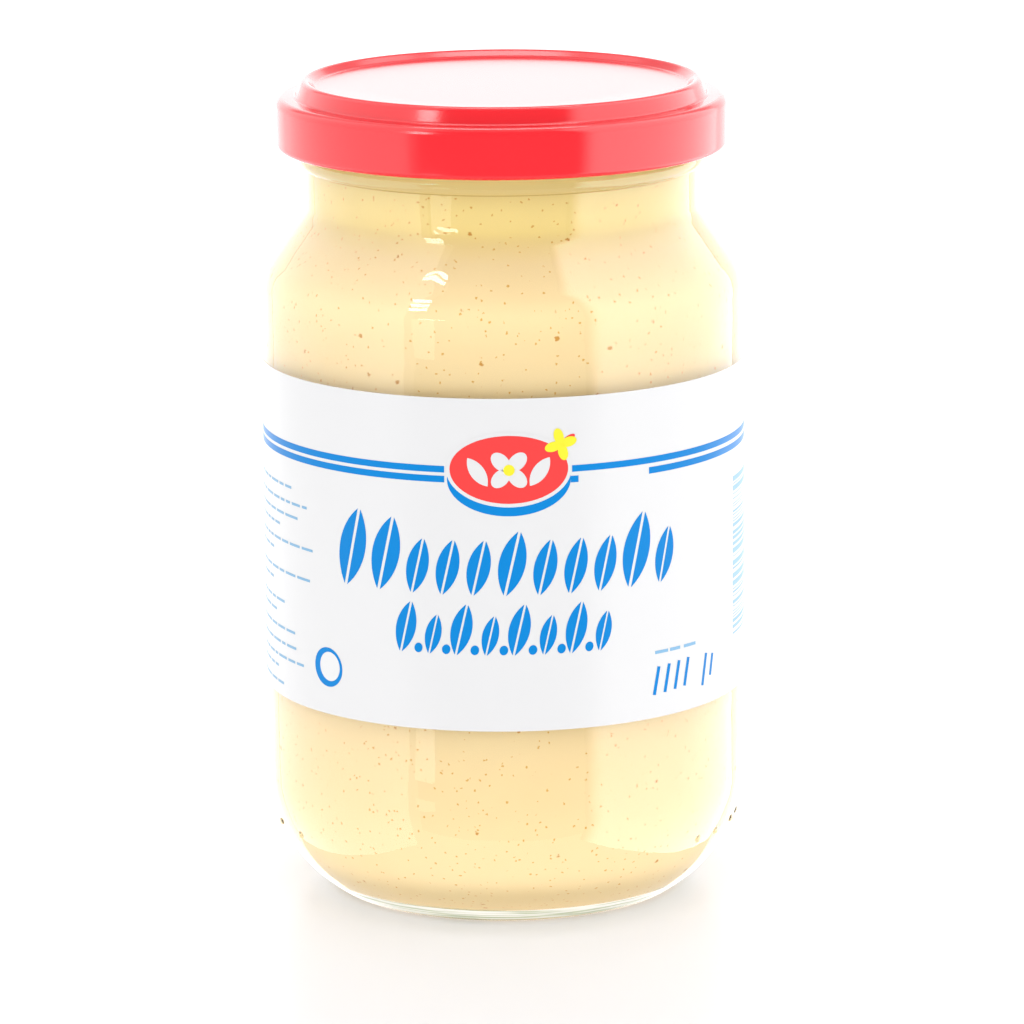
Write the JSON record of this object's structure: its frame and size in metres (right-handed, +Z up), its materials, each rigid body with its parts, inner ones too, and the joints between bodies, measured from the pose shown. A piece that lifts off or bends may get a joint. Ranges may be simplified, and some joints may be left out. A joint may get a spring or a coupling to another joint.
{
  "type": "mustard jar",
  "caption": "Round glass jar of mustard with a rounded heel and shoulder, a paper wrap label and a pressed metal twist-off lid.",
  "frame": {"origin": "centre of the base ring, on the plane the jar stands on", "axes": "+Z up along the jar's axis, -Y towards the front of the label"},
  "size_m": [0.0742, 0.0743, 0.1257],
  "materials": {
    "glass": "clear flint glass, smooth, with a faint green cast in the thick base",
    "mustard": "smooth pale yellow mustard with fine brown specks, seen through the glass",
    "lid": "gloss red lacquer on pressed sheet",
    "label": "smooth coated white paper with blue, red and yellow print"
  },
  "bodies": {
    "root": {"glass": "glass", "mustard": "mustard", "lid": "lid", "label": "label"}
  },
  "joints": []
}
